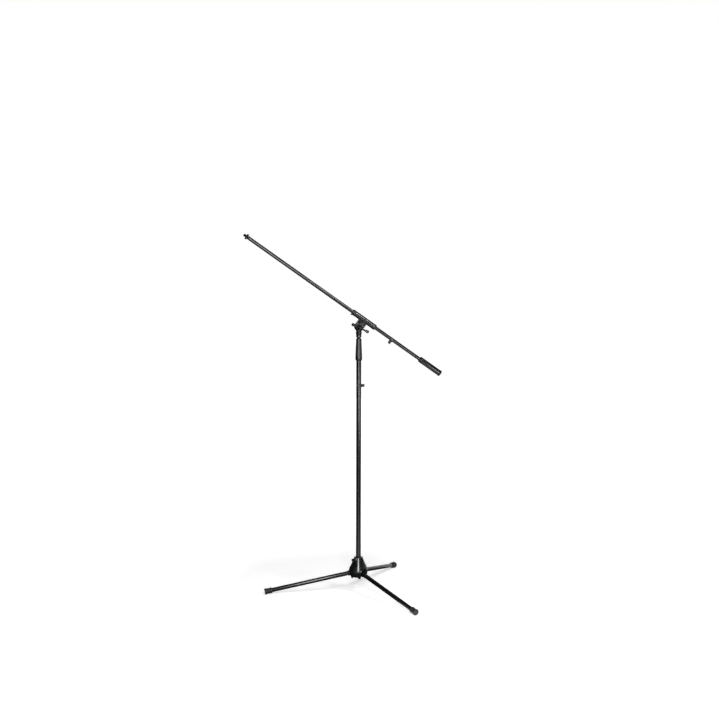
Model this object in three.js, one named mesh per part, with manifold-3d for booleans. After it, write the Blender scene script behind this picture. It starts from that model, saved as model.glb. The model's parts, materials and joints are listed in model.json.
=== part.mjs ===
// Boom microphone stand: folding tripod base, telescopic mast, swivel clamp and one-piece boom.
// Millimetres and degrees, +Z up. The origin is on the floor, at the centre of the stand's plan view.

import * as THREE from 'three';
import { mergeVertices } from 'three/addons/utils/BufferGeometryUtils.js';
import Module from 'manifold-3d';

const wasm = await Module();
wasm.setup();

// ---------------------------------------------------------------- driving dimensions

const GAP = 0.3;                    // clearance between pieces that touch
const CAST = 36;                    // facets round the base casting
const FINE = 24;                    // facets round the large turned pieces
const ROUND = 16;                   // facets round tubes
const SMALL = 12;                   // facets round pins and studs

// Legs, seen from above, turn anticlockwise from +X.
const LEGS = { left: 186, front: 306, rear: 66 };
const PIN_RADIUS = 26.5;            // mast axis to leg hinge pin
const PIN_HEIGHT = 71;
const FOOT_REACH = 331;             // mast axis to the end face of a foot
const FOOT_AXIS_HEIGHT = 10.2;      // leg axis above the floor at that face
const LEG_TUBE = { radius: 7.5, wall: 1.2 };
const KNUCKLE = { radius: 7.4, thickness: 15.4, shoulder: 11, spigot: 24 };
const PIN = { radius: 2.5, length: 25 };
const FOOT_RIM = 11.4;

// Base casting.
const SLOT = { width: 16.2, inner: 18.3, cheek: 4 };
const CASTING_WALL = 3.2;
const LUG_BOTTOM = 53;
const PANEL = { bottom: 58.5, high: 9.5, low: 13 };   // arch between two lugs: height and half widths
const HUB_RADIUS = 12.5;            // solid core left round the mast
const HOLLOW_TOP = 106;             // highest point of the pockets between the legs
const PAST = { low: 40, high: 140 };   // cutters run past the casting at both ends
const LOCK_PLATE = { radius: 23.5, thickness: 3, screw: 2.3, head: 5, headDepth: 3.5 };

// Base clamp screw.
const CLAMP = { azimuth: 226, height: 120.5, stud: 2.5, boss: 5.5, bossEnd: 21.5, knob: 5.2, knobLength: 9 };

// Mast.
const MAST = { radius: 8.6, wall: 1.2, top: 842, plugTop: 74 };
const INNER = { radius: 6.4, wall: 1.2, bottom: 84, top: 905, plugBottom: 885 };
const GLIDE = { radius: 7.1, bottom: 76, top: 98 };
const FERRULE = { bottom: 829.5, radius: 10.2, step: 848, top: 868 };
const COLLET = { radius: 8, bottom: 869, top: 895 };
const GRIP = { bottom: 827, top: 904, widest: 11.9 };
const SHOULDER_TOP = 907.5;
const THREAD = 4.7;                 // radius of the 3/8 inch stud threads
const STUD_TOP = 920.5;

// Swivel and boom clamp. The head frame has its origin on the tilt pivot.
const PIVOT_HEIGHT = 943;
const HEAD_YAW = 9;                 // the boom's plane is turned this far about the mast
const BOOM_TILT = 35.7;             // slope of the boom, tip up
const BOOM_OFFSET = 31;             // pivot to boom axis
const EAR = { radius: 15.2, outer: 14.5, inner: 7.6, floor: -17, foot: -23 };
const TONGUE = { half: 6, width: 16, round: 13.2 };
const BOLT = 4;
const SLEEVE = { outer: 10, inner: 7.7, half: 45, flange: 3.8 };
const TBAR = { reach: 27.5, rod: 3, ball: 5.6, slope: 26.7, plane: 31.5 };

// Boom, measured along its axis from the pivot's foot: the tip is negative.
const BOOM = { radius: 6.25, wall: 1.2, tip: -507, front: -487, rear: 328, end: 333 };
const TIP_STUD = { collar: -490, plug: -465 };
const LOCK_RING = { radius: 10, front: -497.5, back: -491.5 };
const WEIGHT = { radius: 10.2, front: 242, cap: 11, plug: 300 };

// Cable clips.
const CLIP = { wall: 2.2, height: 10, hook: 3.8, hookWall: 1.4, mouth: 2.6 };
const MAST_CLIP_HEIGHT = 739;
const BOOM_CLIP_PLACE = 120;

// ---------------------------------------------------------------- worked-out dimensions

const radians = THREE.MathUtils.degToRad;
const legSlope = Math.atan2(PIN_HEIGHT - FOOT_AXIS_HEIGHT, FOOT_REACH - PIN_RADIUS);
const legLength = (FOOT_REACH - PIN_RADIUS) / Math.cos(legSlope);
const lockPlateTop = PIN_HEIGHT - KNUCKLE.radius - GAP;
const mastBottom = lockPlateTop + GAP;

// ---------------------------------------------------------------- materials

function material(color, roughness, metalness) {
  return new THREE.MeshStandardMaterial({ color, roughness, metalness });
}

const finish = {
  powderCoat: material(0x17181a, 0.42, 0.1),
  castPaint: material(0x141517, 0.3, 0.15),
  nylon: material(0x1d1e20, 0.5, 0),
  rubber: material(0x141414, 0.8, 0),
  blackSteel: material(0x242528, 0.35, 0.8),
  brightSteel: material(0xa9acb0, 0.3, 1),
  acetal: material(0xd8d6cf, 0.5, 0),
};

// ---------------------------------------------------------------- geometry helpers

/** Turned solid about Z from [radius, height] pairs. A profile off the axis is closed on itself. */
function turned(pairs, segments = ROUND) {
  const points = pairs.map(([radius, height]) => new THREE.Vector2(radius, height));
  if (points[0].x > 0 || points.at(-1).x > 0) points.push(points[0].clone());
  return outward(new THREE.LatheGeometry(points, segments).rotateX(Math.PI / 2));
}

/** Plain cylinder about Z between two heights. */
function rod(radius, low, high, segments = SMALL) {
  const geometry = new THREE.CylinderGeometry(radius, radius, high - low, segments);
  return geometry.rotateX(Math.PI / 2).translate(0, 0, (low + high) / 2);
}

/** Hollow tube about Z between two heights. */
function tube(outer, inner, low, high, segments = ROUND) {
  return turned([[inner, low], [outer, low], [outer, high], [inner, high]], segments);
}

function box(x0, x1, y0, y1, z0, z1) {
  const geometry = new THREE.BoxGeometry(x1 - x0, y1 - y0, z1 - z0);
  return geometry.translate((x0 + x1) / 2, (y0 + y1) / 2, (z0 + z1) / 2);
}

/** Plate drawn in the XZ plane, with its thickness centred on Y. */
function plate(shape, thickness, curveSegments = 8) {
  const geometry = new THREE.ExtrudeGeometry(shape, { depth: thickness, bevelEnabled: false, curveSegments });
  return geometry.translate(0, 0, -thickness / 2).rotateX(Math.PI / 2);
}

/** Lay a solid made about Z along +X. */
function alongX(geometry) {
  return geometry.rotateY(Math.PI / 2);
}

/** Lay a solid made about Z along -Y. */
function alongY(geometry) {
  return geometry.rotateX(Math.PI / 2);
}

/** Closed mesh with shared vertices and only positions. */
function welded(geometry) {
  const copy = geometry.clone();
  copy.deleteAttribute('normal');
  copy.deleteAttribute('uv');
  return mergeVertices(copy, 1e-4);
}

/** Turn every face round if the closed mesh encloses a negative volume. */
function outward(geometry) {
  const closed = welded(geometry);
  const index = closed.index.array;
  const corners = [0, 1, 2].map(() => new THREE.Vector3());
  const kept = [];
  let volume = 0;
  for (let face = 0; face < index.length; face += 3) {
    const trio = [index[face], index[face + 1], index[face + 2]];
    if (new Set(trio).size < 3) continue;
    trio.forEach((vertex, corner) => corners[corner].fromBufferAttribute(closed.attributes.position, vertex));
    volume += corners[0].dot(corners[1].clone().cross(corners[2]));
    kept.push(trio);
  }
  closed.setIndex(kept.flatMap((trio) => (volume < 0 ? trio.reverse() : trio)));
  return closed;
}

function toSolid(geometry) {
  const closed = welded(geometry);
  return new wasm.Manifold(new wasm.Mesh({
    numProp: 3,
    vertProperties: new Float32Array(closed.attributes.position.array),
    triVerts: new Uint32Array(closed.index.array),
  }));
}

function toGeometry(solid) {
  const mesh = solid.getMesh();
  const geometry = new THREE.BufferGeometry();
  geometry.setAttribute('position', new THREE.BufferAttribute(new Float32Array(mesh.vertProperties), 3));
  geometry.setIndex(new THREE.BufferAttribute(new Uint32Array(mesh.triVerts), 1));
  return geometry;
}

/** Join some closed geometries, then cut others away. */
function shaped(joined, cuts = []) {
  let solid = toSolid(joined[0]);
  for (const geometry of joined.slice(1)) solid = solid.add(toSolid(geometry));
  for (const geometry of cuts) solid = solid.subtract(toSolid(geometry));
  return toGeometry(solid);
}

/** Geometries turned to each leg's azimuth, plus an extra angle. */
function roundLegs(make, extra = 0) {
  return Object.values(LEGS).map((azimuth) => make().rotateZ(radians(azimuth + extra)));
}

function part(name, geometry, look) {
  const mesh = new THREE.Mesh(geometry, look);
  mesh.name = name;
  return mesh;
}

function assembly(...children) {
  return new THREE.Group().add(...children);
}

// ---------------------------------------------------------------- base

/** Outline of the bell-shaped casting, from its lowest edge to its neck. */
function castingSkin(inset) {
  const curve = new THREE.SplineCurve([
    new THREE.Vector2(27.4, LUG_BOTTOM),
    new THREE.Vector2(30.4, 64),
    new THREE.Vector2(33.4, 73),
    new THREE.Vector2(33.6, 81),
    new THREE.Vector2(28.2, 95),
    new THREE.Vector2(20.2, 113),
    new THREE.Vector2(14.6, 127.5),
  ]);
  return curve.getPoints(10).map((point) => [point.x - inset, point.y]);
}

function panelCutter() {
  const gap = new THREE.Shape();
  gap.moveTo(-PANEL.low, LUG_BOTTOM - 2);
  gap.lineTo(-PANEL.high, PANEL.bottom);
  gap.lineTo(PANEL.high, PANEL.bottom);
  gap.lineTo(PANEL.low, LUG_BOTTOM - 2);
  const cutter = plate(gap, 40).rotateZ(Math.PI / 2);
  return cutter.translate(30, 0, 0);
}

function baseCasting() {
  const skin = castingSkin(0);
  const body = turned([[0, LUG_BOTTOM], ...skin, [0, skin.at(-1)[1]]], CAST);
  const boss = alongX(rod(CLAMP.boss, 10, CLAMP.bossEnd, ROUND))
    .translate(0, 0, CLAMP.height).rotateZ(radians(CLAMP.azimuth));

  const inside = castingSkin(CASTING_WALL).filter(([, height]) => height < HOLLOW_TOP);
  const hollow = toSolid(turned([[0, LUG_BOTTOM - 1], [inside[0][0], LUG_BOTTOM - 1], ...inside,
    [0, inside.at(-1)[1]]], CAST));
  const cheekHalf = SLOT.width / 2 + SLOT.cheek;
  let pockets = hollow.subtract(toSolid(rod(HUB_RADIUS, PAST.low, PAST.high, FINE)));
  for (const slab of roundLegs(() => box(0, 60, -cheekHalf, cheekHalf, PAST.low, PAST.high))) {
    pockets = pockets.subtract(toSolid(slab));
  }

  const cuts = [
    toGeometry(pockets),
    rod(MAST.radius + GAP, PAST.low, PAST.high, ROUND),
    rod(LOCK_PLATE.radius + 0.5, PAST.low, lockPlateTop + GAP, FINE),
    alongX(rod(CLAMP.stud + GAP, 5, 30)).translate(0, 0, CLAMP.height).rotateZ(radians(CLAMP.azimuth)),
    ...roundLegs(() => box(SLOT.inner, 60, -SLOT.width / 2, SLOT.width / 2, PAST.low, PAST.high)),
    ...roundLegs(() => alongY(rod(PIN.radius + GAP, -20, 20)).translate(PIN_RADIUS, 0, PIN_HEIGHT)),
    ...roundLegs(panelCutter, 60),
  ];
  return part('base_casting', shaped([body, boss], cuts), finish.castPaint);
}

function legPin(side) {
  const geometry = alongY(rod(PIN.radius, -PIN.length / 2, PIN.length / 2))
    .translate(PIN_RADIUS, 0, PIN_HEIGHT).rotateZ(radians(LEGS[side]));
  return part(`leg_pin_${side}`, geometry, finish.brightSteel);
}

function baseClamp() {
  const start = CLAMP.bossEnd + GAP;
  const end = start + CLAMP.knobLength;
  const stud = alongX(rod(CLAMP.stud, MAST.radius + 2 * GAP, end - 2));
  const knob = alongX(turned([[0, end], [CLAMP.knob - 1.2, end], [CLAMP.knob, end - 1.2],
    [CLAMP.knob, start + 2], [CLAMP.knob - 1, start], [CLAMP.stud + GAP, start],
    [CLAMP.stud + GAP, end - 2 + GAP], [0, end - 2 + GAP]], SMALL));
  const group = assembly(
    part('base_clamp_stud', stud, finish.brightSteel),
    part('base_clamp_knob', knob, finish.nylon),
  );
  group.position.z = CLAMP.height;
  group.rotation.z = radians(CLAMP.azimuth);
  return group;
}

// ---------------------------------------------------------------- legs, made along +X from the pin

function knuckle() {
  const outline = new THREE.Shape();
  outline.moveTo(KNUCKLE.shoulder, -KNUCKLE.radius);
  outline.lineTo(KNUCKLE.shoulder, KNUCKLE.radius);
  outline.lineTo(0, KNUCKLE.radius);
  outline.absarc(0, 0, KNUCKLE.radius, Math.PI / 2, 1.5 * Math.PI);
  const spigot = alongX(rod(LEG_TUBE.radius - LEG_TUBE.wall - GAP,
    KNUCKLE.shoulder - 1, KNUCKLE.shoulder + KNUCKLE.spigot, ROUND));
  const bore = alongY(rod(PIN.radius + GAP, -20, 20));
  return shaped([plate(outline, KNUCKLE.thickness), spigot], [bore]);
}

function footCap() {
  const bore = LEG_TUBE.radius + GAP;
  const end = legLength;
  const profile = [[0, end], [9, end], [FOOT_RIM - 0.6, end - 1], [FOOT_RIM, end - 3],
    [FOOT_RIM - 0.3, end - 5.5], [10.2, end - 6.5], [9.7, end - 21], [10.3, end - 22], [10.3, end - 25],
    [9.6, end - 26], [bore, end - 26], [bore, end - 4], [0, end - 4]];
  const floor = box(-40, 40, -20, 20, -20, 0).translate(FOOT_REACH - PIN_RADIUS, 0, -PIN_HEIGHT)
    .rotateY(-legSlope);
  return shaped([alongX(turned(profile))], [floor]);
}

function leg(side) {
  const tubeStart = KNUCKLE.shoulder + GAP;
  const tubeEnd = legLength - 4 - GAP;
  const pipe = alongX(tube(LEG_TUBE.radius, LEG_TUBE.radius - LEG_TUBE.wall, tubeStart, tubeEnd));
  const sloped = assembly(
    part(`leg_knuckle_${side}`, knuckle(), finish.blackSteel),
    part(`leg_tube_${side}`, pipe, finish.powderCoat),
    part(`foot_cap_${side}`, footCap(), finish.rubber),
  );
  sloped.position.set(PIN_RADIUS, 0, PIN_HEIGHT);
  sloped.rotation.y = legSlope;
  const turnedLeg = assembly(sloped);
  turnedLeg.rotation.z = radians(LEGS[side]);
  return turnedLeg;
}

// ---------------------------------------------------------------- mast

function mast() {
  const bore = MAST.radius - MAST.wall;
  const plateBottom = lockPlateTop - LOCK_PLATE.thickness;
  const screwHole = LOCK_PLATE.screw + GAP;
  const seat = plateBottom - GAP;
  const screwTop = MAST.plugTop - 2;
  const screw = turned([[0, seat - LOCK_PLATE.headDepth], [LOCK_PLATE.head, seat - LOCK_PLATE.headDepth],
    [LOCK_PLATE.head, seat], [LOCK_PLATE.screw, seat], [LOCK_PLATE.screw, screwTop], [0, screwTop]], SMALL);
  const ferrule = turned([[MAST.radius + GAP, FERRULE.bottom], [FERRULE.radius, FERRULE.bottom],
    [FERRULE.radius, FERRULE.step], [MAST.radius, FERRULE.step], [MAST.radius, FERRULE.top],
    [INNER.radius + GAP, FERRULE.top], [INNER.radius + GAP, MAST.top + GAP],
    [MAST.radius + GAP, MAST.top + GAP]], FINE);
  const collet = tube(COLLET.radius, INNER.radius + GAP, COLLET.bottom, COLLET.top);
  return assembly(
    part('mast_tube', tube(MAST.radius, bore, mastBottom, MAST.top, FINE), finish.powderCoat),
    part('mast_foot_plug', tube(bore - GAP, screwHole, mastBottom + GAP, MAST.plugTop), finish.nylon),
    part('lock_plate', tube(LOCK_PLATE.radius, screwHole, plateBottom, lockPlateTop, FINE), finish.blackSteel),
    part('lock_plate_screw', screw, finish.brightSteel),
    part('clutch_ferrule', ferrule, finish.blackSteel),
    part('clutch_collet', collet, finish.acetal),
  );
}

function clutchGrip() {
  const { bottom, top, widest } = GRIP;
  const throat = INNER.radius + 2 * GAP;
  const colletRoom = COLLET.radius + GAP;
  const shankRoom = MAST.radius + GAP;
  const threadRoom = FERRULE.radius + GAP;
  const lip = FERRULE.bottom - GAP;
  const outside = [[10, bottom], [11, bottom + 3], [widest, bottom + 10], [11.7, bottom + 18],
    [10.9, bottom + 40], [9.5, top - 6], [9.1, top - 1], [8.6, top]];
  const inside = [[throat, top], [throat, top - 7], [colletRoom, top - 8], [colletRoom, COLLET.bottom],
    [shankRoom, COLLET.bottom], [shankRoom, FERRULE.step + 0.5], [threadRoom, FERRULE.step + 0.5],
    [threadRoom, lip], [9, lip], [9, bottom]];
  return part('clutch_grip', turned([...outside, ...inside], FINE), finish.nylon);
}

function innerMast() {
  const bore = INNER.radius - INNER.wall;
  const spigot = bore - GAP;
  const glide = turned([[0, GLIDE.bottom], [GLIDE.radius, GLIDE.bottom], [GLIDE.radius, INNER.bottom - GAP],
    [spigot, INNER.bottom - GAP], [spigot, GLIDE.top], [0, GLIDE.top]]);
  const stud = turned([[0, INNER.plugBottom], [spigot, INNER.plugBottom], [spigot, INNER.top + GAP],
    [INNER.radius, INNER.top + GAP], [INNER.radius, SHOULDER_TOP], [THREAD, SHOULDER_TOP],
    [THREAD, STUD_TOP], [0, STUD_TOP]]);
  return assembly(
    part('inner_tube', tube(INNER.radius, bore, INNER.bottom, INNER.top), finish.powderCoat),
    part('inner_tube_glide', glide, finish.acetal),
    part('mast_top_stud', stud, finish.blackSteel),
  );
}

// ---------------------------------------------------------------- cable clips, made about Z

/** Snap ring for a tube with an open hook beside it, towards +X. The hook's mouth faces -Y. */
function cableClip(tubeRadius) {
  const inner = tubeRadius + GAP;
  const outer = inner + CLIP.wall;
  const half = CLIP.height / 2;
  const hookOuter = CLIP.hook + CLIP.hookWall;
  const hookPlace = outer + CLIP.hook;
  const ring = rod(outer, -half, half, FINE);
  const hook = rod(hookOuter, -half, half, ROUND).translate(hookPlace, 0, 0);
  const cuts = [
    rod(inner, -20, 20, FINE),
    rod(CLIP.hook, -20, 20, ROUND).translate(hookPlace, 0, 0),
    box(-30, 0, -inner * 0.7, inner * 0.7, -20, 20),
    box(hookPlace - CLIP.mouth, hookPlace + CLIP.mouth, -20, 0, -20, 20),
  ];
  return shaped([ring, hook], cuts);
}

function mastClip() {
  const clip = part('mast_cable_clip', cableClip(MAST.radius), finish.nylon);
  clip.position.z = MAST_CLIP_HEIGHT;
  return clip;
}

// ---------------------------------------------------------------- swivel, in the head frame

function swivelSocket() {
  const low = SHOULDER_TOP + GAP - PIVOT_HEIGHT;
  const boreTop = STUD_TOP + GAP - PIVOT_HEIGHT;
  const bore = THREAD + GAP;
  const barrel = turned([[0, boreTop], [bore, boreTop], [bore, low], [9, low], [9.3, low + 1], [9.3, low + 4],
    [9, low + 5], [9.6, low + 9], [10.9, EAR.floor], [0, EAR.floor]], FINE);

  const flare = toSolid(turned([[0, EAR.foot - 1], [10, EAR.foot - 1], [10.9, EAR.floor], [12.6, -12],
    [16, -6], [19.5, 0], [21.4, 8], [21.4, 17], [0, 17]], FINE));
  const outline = new THREE.Shape();
  outline.moveTo(-EAR.radius, EAR.foot);
  outline.lineTo(EAR.radius, EAR.foot);
  outline.lineTo(EAR.radius, 0);
  outline.absarc(0, 0, EAR.radius, 0, Math.PI);
  const block = toSolid(plate(outline, 2 * EAR.outer, 10)).intersect(flare);
  const cuts = [
    box(-30, 30, -EAR.inner, EAR.inner, EAR.floor, 30),
    rod(bore, -50, boreTop),
    alongY(rod(BOLT + GAP, -30, 30)),
  ];
  return part('swivel_socket', shaped([barrel, toGeometry(block)], cuts), finish.castPaint);
}

function frictionDisc(name, side) {
  const middle = side * (EAR.inner + TONGUE.half) / 2;
  const disc = alongY(tube(12, BOLT + GAP, -0.45, 0.45)).translate(0, middle, 0);
  return part(name, disc, finish.brightSteel);
}

function pivotNut() {
  const hexagon = rod(7, 0, 5.5, 6);
  const nut = alongY(shaped([hexagon], [rod(BOLT + GAP, -1, 7)])).rotateZ(Math.PI);
  return part('pivot_nut', nut.translate(0, EAR.outer + GAP, 0), finish.brightSteel);
}

function tBar() {
  const head = EAR.outer + GAP;
  const screw = turned([[0, -EAR.outer - 7], [BOLT, -EAR.outer - 7], [BOLT, head], [8, head], [8, head + 2],
    [6, head + 5], [5.2, head + 10], [5.6, TBAR.plane + 3], [4, TBAR.plane + 5.2], [0, TBAR.plane + 5.6]]);
  const crossHole = alongX(rod(TBAR.rod + GAP, -10, 10)).translate(0, 0, TBAR.plane);
  const stem = alongY(shaped([screw], [crossHole]));
  const cross = alongX(rod(TBAR.rod, -TBAR.reach, TBAR.reach)).translate(0, -TBAR.plane, 0);
  const balls = [['left', -1], ['right', 1]].map(([side, direction]) => {
    const ball = new THREE.SphereGeometry(TBAR.ball, SMALL, 9);
    const socket = alongX(rod(TBAR.rod + GAP, -TBAR.ball - 1, GAP)).scale(direction, direction, 1);
    const geometry = shaped([ball], [socket]).translate(direction * TBAR.reach, -TBAR.plane, 0);
    return part(`t_bar_end_${side}`, geometry, finish.nylon);
  });
  const group = assembly(
    part('t_bar_screw', stem, finish.blackSteel),
    part('t_bar_rod', cross, finish.blackSteel),
    ...balls,
  );
  group.rotation.y = radians(TBAR.slope);
  return group;
}

// ---------------------------------------------------------------- boom, in the boom frame
// +X runs down the boom to the counterweight and +Z stands square to it. The pivot is the origin.

/** Move a solid made along the boom axis from the pivot to that axis. */
function onBoom(geometry) {
  return geometry.translate(0, 0, BOOM_OFFSET);
}

function boomClamp() {
  const { outer, inner, half, flange } = SLEEVE;
  const tongue = new THREE.Shape();
  tongue.moveTo(-TONGUE.width, BOOM_OFFSET - 8);
  tongue.lineTo(-TONGUE.width, 8);
  tongue.lineTo(-TONGUE.round, 0);
  tongue.absarc(0, 0, TONGUE.round, Math.PI, 2 * Math.PI);
  tongue.lineTo(TONGUE.width, 8);
  tongue.lineTo(TONGUE.width, BOOM_OFFSET - 8);
  const sleeve = () => onBoom(alongX(rod(outer, -half, half, FINE)));
  const bore = onBoom(alongX(rod(inner, -60, 60, ROUND)));
  const body = shaped([sleeve(), plate(tongue, 2 * TONGUE.half)], [
    bore,
    box(-60, 60, -20, 20, BOOM_OFFSET - GAP / 2, BOOM_OFFSET + 20),
    alongY(rod(BOLT + GAP, -30, 30)),
    rod(3 + GAP, 0, BOOM_OFFSET),
  ]);
  const cover = shaped([sleeve()], [bore, box(-60, 60, -20, 20, BOOM_OFFSET - 20, BOOM_OFFSET + GAP / 2)]);
  const bushBore = BOOM.radius + GAP;
  const bush = (direction) => onBoom(alongX(turned([[bushBore, 25], [inner - GAP, 25],
    [inner - GAP, half + GAP], [outer - 0.2, half + GAP], [outer - 0.6, half + GAP + flange],
    [bushBore, half + GAP + flange]], FINE)).scale(direction, direction, 1));
  const plunger = rod(3, BOLT + GAP, BOOM_OFFSET - bushBore);
  return assembly(
    part('boom_clamp_body', body, finish.castPaint),
    part('boom_clamp_cover', cover, finish.castPaint),
    part('clamp_bush_front', bush(-1), finish.nylon),
    part('clamp_bush_rear', bush(1), finish.nylon),
    part('clamp_plunger', plunger, finish.brightSteel),
  );
}

function boom() {
  const bore = BOOM.radius - BOOM.wall;
  const spigot = bore - GAP;
  const stud = turned([[0, BOOM.tip], [THREAD - 0.7, BOOM.tip], [THREAD, BOOM.tip + 1],
    [THREAD, TIP_STUD.collar], [BOOM.radius, TIP_STUD.collar], [BOOM.radius, BOOM.front - GAP],
    [spigot, BOOM.front - GAP], [spigot, TIP_STUD.plug], [0, TIP_STUD.plug]]);
  const cap = turned([[0, WEIGHT.plug], [spigot, WEIGHT.plug], [spigot, BOOM.rear + GAP],
    [WEIGHT.cap, BOOM.rear + GAP], [WEIGHT.cap, BOOM.end - 1.5], [WEIGHT.cap - 1.5, BOOM.end],
    [0, BOOM.end]], FINE);
  const ring = tube(LOCK_RING.radius, THREAD + GAP, LOCK_RING.front, LOCK_RING.back, FINE);
  const weight = tube(WEIGHT.radius, BOOM.radius + GAP, WEIGHT.front, BOOM.rear, FINE);
  const pipe = tube(BOOM.radius, bore, BOOM.front, BOOM.rear);
  const clip = cableClip(BOOM.radius).rotateY(Math.PI / 2).translate(BOOM_CLIP_PLACE, 0, 0);
  return assembly(
    part('boom_tube', onBoom(alongX(pipe)), finish.powderCoat),
    part('boom_tip_stud', onBoom(alongX(stud)), finish.blackSteel),
    part('tip_lock_ring', onBoom(alongX(ring)), finish.blackSteel),
    part('counterweight', onBoom(alongX(weight)), finish.powderCoat),
    part('counterweight_cap', onBoom(alongX(cap)), finish.rubber),
    part('boom_cable_clip', onBoom(clip), finish.nylon),
  );
}

function head() {
  const tilted = assembly(boomClamp(), boom());
  tilted.rotation.y = radians(BOOM_TILT);
  const group = assembly(
    swivelSocket(),
    frictionDisc('friction_disc_front', -1),
    frictionDisc('friction_disc_rear', 1),
    pivotNut(),
    tBar(),
    tilted,
  );
  group.position.z = PIVOT_HEIGHT;
  group.rotation.z = radians(HEAD_YAW);
  return group;
}

// ---------------------------------------------------------------- whole stand

const sides = Object.keys(LEGS);
const stand = assembly(
  baseCasting(),
  ...sides.map(legPin),
  baseClamp(),
  ...sides.map(leg),
  mast(),
  clutchGrip(),
  mastClip(),
  innerMast(),
  head(),
);

// Bring the centre of the plan view over the origin.
const extent = new THREE.Box3().setFromObject(stand, true);
const centre = extent.getCenter(new THREE.Vector3());
stand.position.set(-Math.round(centre.x), -Math.round(centre.y), 0);

export default assembly(stand);
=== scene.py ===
import json
import logging
import math
from collections.abc import Iterable, Sequence
from dataclasses import dataclass, field
from enum import Enum

import bmesh
import bpy
from mathutils import Matrix, Vector

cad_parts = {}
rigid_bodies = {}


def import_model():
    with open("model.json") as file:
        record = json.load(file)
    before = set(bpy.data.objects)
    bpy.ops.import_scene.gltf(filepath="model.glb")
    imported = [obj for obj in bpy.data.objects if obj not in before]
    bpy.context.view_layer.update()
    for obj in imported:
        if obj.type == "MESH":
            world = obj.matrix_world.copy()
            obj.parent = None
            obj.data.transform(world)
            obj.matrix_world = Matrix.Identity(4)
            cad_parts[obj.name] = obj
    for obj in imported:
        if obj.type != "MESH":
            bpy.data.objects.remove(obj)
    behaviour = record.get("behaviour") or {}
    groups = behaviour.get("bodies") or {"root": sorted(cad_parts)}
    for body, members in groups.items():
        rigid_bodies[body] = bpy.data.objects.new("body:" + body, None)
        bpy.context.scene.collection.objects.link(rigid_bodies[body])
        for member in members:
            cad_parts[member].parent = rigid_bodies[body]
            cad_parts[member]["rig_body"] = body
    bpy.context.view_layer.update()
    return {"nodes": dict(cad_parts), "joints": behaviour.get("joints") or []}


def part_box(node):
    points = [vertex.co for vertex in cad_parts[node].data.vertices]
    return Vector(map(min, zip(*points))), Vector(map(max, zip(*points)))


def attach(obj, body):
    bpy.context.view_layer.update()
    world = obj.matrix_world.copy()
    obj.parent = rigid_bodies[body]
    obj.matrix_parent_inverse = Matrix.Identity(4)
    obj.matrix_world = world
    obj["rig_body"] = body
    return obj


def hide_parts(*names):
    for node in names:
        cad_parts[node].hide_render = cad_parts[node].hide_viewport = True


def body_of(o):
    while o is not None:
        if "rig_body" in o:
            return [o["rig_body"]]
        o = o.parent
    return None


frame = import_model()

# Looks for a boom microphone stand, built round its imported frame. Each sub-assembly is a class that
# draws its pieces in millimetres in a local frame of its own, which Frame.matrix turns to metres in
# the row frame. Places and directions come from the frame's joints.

LOG = logging.getLogger("stand")

MM = 0.001
TURN = 2 * math.pi
SHARP_ANGLE = math.radians(38)
WELD = 1e-4
THREAD_PITCH = 1.5875  # the 3/8 inch microphone thread: sixteen turns to the inch
THREAD_DEPTH = 0.6
MAST_RADIUS = 8.6
BOOM_RADIUS = 6.25
BOOM_OFFSET = 31.0  # from the tilt pivot to the boom's axis

Profile = list[tuple[float, float]]
Colour = tuple[float, float, float, float]
Solid = bmesh.types.BMesh


# ------------------------------------------------------------------ names shared with the frame


class Side(Enum):
    """The three legs, by where they point from the mast."""

    LEFT = "left"
    FRONT = "front"
    REAR = "rear"


class Slot(Enum):
    """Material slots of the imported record."""

    POWDER_COAT = "powder_coat"
    CAST_PAINT = "cast_paint"
    NYLON = "black_nylon"
    RUBBER = "black_rubber"
    BLACK_STEEL = "black_steel"
    BRIGHT_STEEL = "bright_steel"
    ACETAL = "acetal"


class Cut(Enum):
    """How one solid changes another."""

    AWAY = "DIFFERENCE"
    COMMON = "INTERSECT"
    JOIN = "UNION"


# ------------------------------------------------------------------ material helpers


def colour(code: str) -> Colour:
    """Turn an sRGB hex colour to the linear values that shaders take.

    Args:
        code: Six hex digits with a leading hash.

    Returns:
        Linear red, green, blue and an alpha of one.
    """
    channels = [int(code[start : start + 2], 16) / 255 for start in (1, 3, 5)]
    linear = [c / 12.92 if c <= 0.04045 else ((c + 0.055) / 1.055) ** 2.4 for c in channels]
    return (*linear, 1.0)


def per_mm(size: float) -> float:
    """Texture scale, in repeats per metre, of a pattern whose features are size millimetres wide."""
    return 1 / (size * MM)


def add_node(
    material: bpy.types.Material | bpy.types.World,
    kind: str,
    settings: dict | None = None,
    **links: bpy.types.NodeSocket,
) -> bpy.types.Node:
    """Add one shader node, set its values and link its inputs.

    Args:
        material: The material or world that takes the node.
        kind: The node's type without its ShaderNode prefix.
        settings: Input or property names with their values.
        links: Input names, with underscores for spaces, and the outputs that feed them.

    Returns:
        The new node.
    """
    node = material.node_tree.nodes.new(f"ShaderNode{kind}")
    for name, value in (settings or {}).items():
        if name in node.inputs:
            node.inputs[name].default_value = value
        else:
            setattr(node, name, value)
    for name, source in links.items():
        material.node_tree.links.new(source, node.inputs[name.replace("_", " ")])
    return node


# ------------------------------------------------------------------ finishes


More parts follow.
